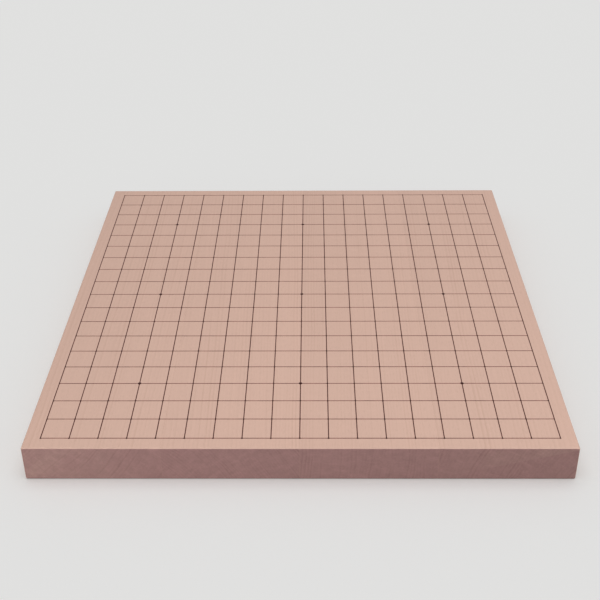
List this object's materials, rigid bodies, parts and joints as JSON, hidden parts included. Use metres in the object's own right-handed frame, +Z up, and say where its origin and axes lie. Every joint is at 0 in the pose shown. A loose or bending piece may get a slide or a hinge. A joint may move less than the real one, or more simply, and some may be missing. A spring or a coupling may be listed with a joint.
{
  "type": "go board",
  "caption": "Flat wooden table board for the game of go: staves glued edge to edge, ruled with a grid of dark lacquer lines and round star points.",
  "frame": {"origin": "on the surface that the board lies on, under the middle of the board", "axes": "+X across the board to the player's right, +Y along the grain away from the near player, +Z up out of the playing face"},
  "size_m": [0.421, 0.451, 0.0303],
  "materials": {
    "board_wood": "planed and waxed, pale pinkish beige, darker on the end grain",
    "joint_glue": "hairline of hardened wood glue",
    "line_lacquer": "thin raised lacquer, dark brown, satin"
  },
  "bodies": {
    "root": {"stave_1": "board_wood", "stave_2": "board_wood", "stave_3": "board_wood", "stave_4": "board_wood", "glue_line_1": "joint_glue", "glue_line_2": "joint_glue", "glue_line_3": "joint_glue", "along_line_01": "line_lacquer", "along_line_02": "line_lacquer", "along_line_03": "line_lacquer", "along_line_04": "line_lacquer", "along_line_05": "line_lacquer", "along_line_06": "line_lacquer", "along_line_07": "line_lacquer", "along_line_08": "line_lacquer", "along_line_09": "line_lacquer", "along_line_10": "line_lacquer", "along_line_11": "line_lacquer", "along_line_12": "line_lacquer", "along_line_13": "line_lacquer", "along_line_14": "line_lacquer", "along_line_15": "line_lacquer", "along_line_16": "line_lacquer", "along_line_17": "line_lacquer", "along_line_18": "line_lacquer", "along_line_19": "line_lacquer", "across_line_01": "line_lacquer", "across_line_02": "line_lacquer", "across_line_03": "line_lacquer", "across_line_04": "line_lacquer", "across_line_05": "line_lacquer", "across_line_06": "line_lacquer", "across_line_07": "line_lacquer", "across_line_08": "line_lacquer", "across_line_09": "line_lacquer", "across_line_10": "line_lacquer", "across_line_11": "line_lacquer", "across_line_12": "line_lacquer", "across_line_13": "line_lacquer", "across_line_14": "line_lacquer", "across_line_15": "line_lacquer", "across_line_16": "line_lacquer", "across_line_17": "line_lacquer", "across_line_18": "line_lacquer", "across_line_19": "line_lacquer", "star_point_1": "line_lacquer", "star_point_2": "line_lacquer", "star_point_3": "line_lacquer", "star_point_4": "line_lacquer", "star_point_5": "line_lacquer", "star_point_6": "line_lacquer", "star_point_7": "line_lacquer", "star_point_8": "line_lacquer", "star_point_9": "line_lacquer"}
  },
  "joints": []
}
